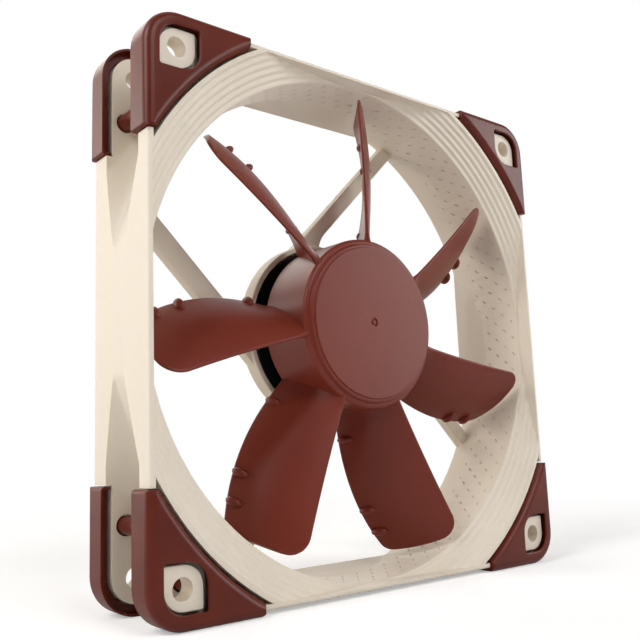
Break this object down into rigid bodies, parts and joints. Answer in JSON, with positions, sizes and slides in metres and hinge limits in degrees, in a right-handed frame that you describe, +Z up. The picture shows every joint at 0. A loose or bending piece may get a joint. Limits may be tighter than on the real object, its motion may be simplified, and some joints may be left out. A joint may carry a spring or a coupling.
{
  "type": "case fan",
  "caption": "Square axial case fan with a pale open frame, dark corner pads, straight struts and a swept-blade impeller on a cup-shaped hub.",
  "frame": {"origin": "centre of the bounding box, on the spin axis at half depth", "axes": "+X to the right and +Z up as seen from the intake side; +Y along the spin axis, from the intake face to the exhaust face"},
  "size_m": [0.12, 0.0264, 0.12],
  "materials": {
    "frame_plastic": "moulded, satin",
    "impeller_plastic": "moulded, semi-gloss",
    "pad_rubber": "moulded silicone, matt",
    "brass": "turned",
    "sintered_bronze": "sintered, oily",
    "slick_plastic": "turned",
    "laminations": "stamped and stacked",
    "insulator": "moulded",
    "copper_wire": "enamelled",
    "circuit_board": "solder mask",
    "chip_package": "moulded",
    "capacitor": "fired ceramic",
    "label": "blank film",
    "pressed_steel": "deep drawn",
    "ferrite": "pressed and sintered",
    "ground_steel": "ground"
  },
  "bodies": {
    "housing": {"frame": "frame_plastic", "pad_front_top_left": "pad_rubber", "pad_front_top_right": "pad_rubber", "pad_front_bottom_right": "pad_rubber", "pad_front_bottom_left": "pad_rubber", "pad_rear_top_left": "pad_rubber", "pad_rear_top_right": "pad_rubber", "pad_rear_bottom_right": "pad_rubber", "pad_rear_bottom_left": "pad_rubber", "bearing_tube": "brass", "bearing_bush": "sintered_bronze", "oil_seal": "slick_plastic", "thrust_pad": "slick_plastic", "stator_core": "laminations", "insulator_front": "insulator", "insulator_rear": "insulator", "stator_coil_1": "copper_wire", "stator_coil_2": "copper_wire", "stator_coil_3": "copper_wire", "stator_coil_4": "copper_wire", "circuit_board": "circuit_board", "driver_chip": "chip_package", "hall_sensor": "chip_package", "capacitor_1": "capacitor", "capacitor_2": "capacitor", "rear_label": "label"},
    "rotor": {"impeller": "impeller_plastic", "rotor_yoke": "pressed_steel", "rotor_magnet": "ferrite", "shaft_ferrule": "brass", "shaft": "ground_steel", "shaft_clip": "slick_plastic"}
  },
  "joints": [
    {"name": "impeller_spin", "type": "hinge", "parent": "housing", "child": "rotor", "pos_m": [0, 0, 0], "axis": [0, -1, 0], "continuous": true}
  ]
}
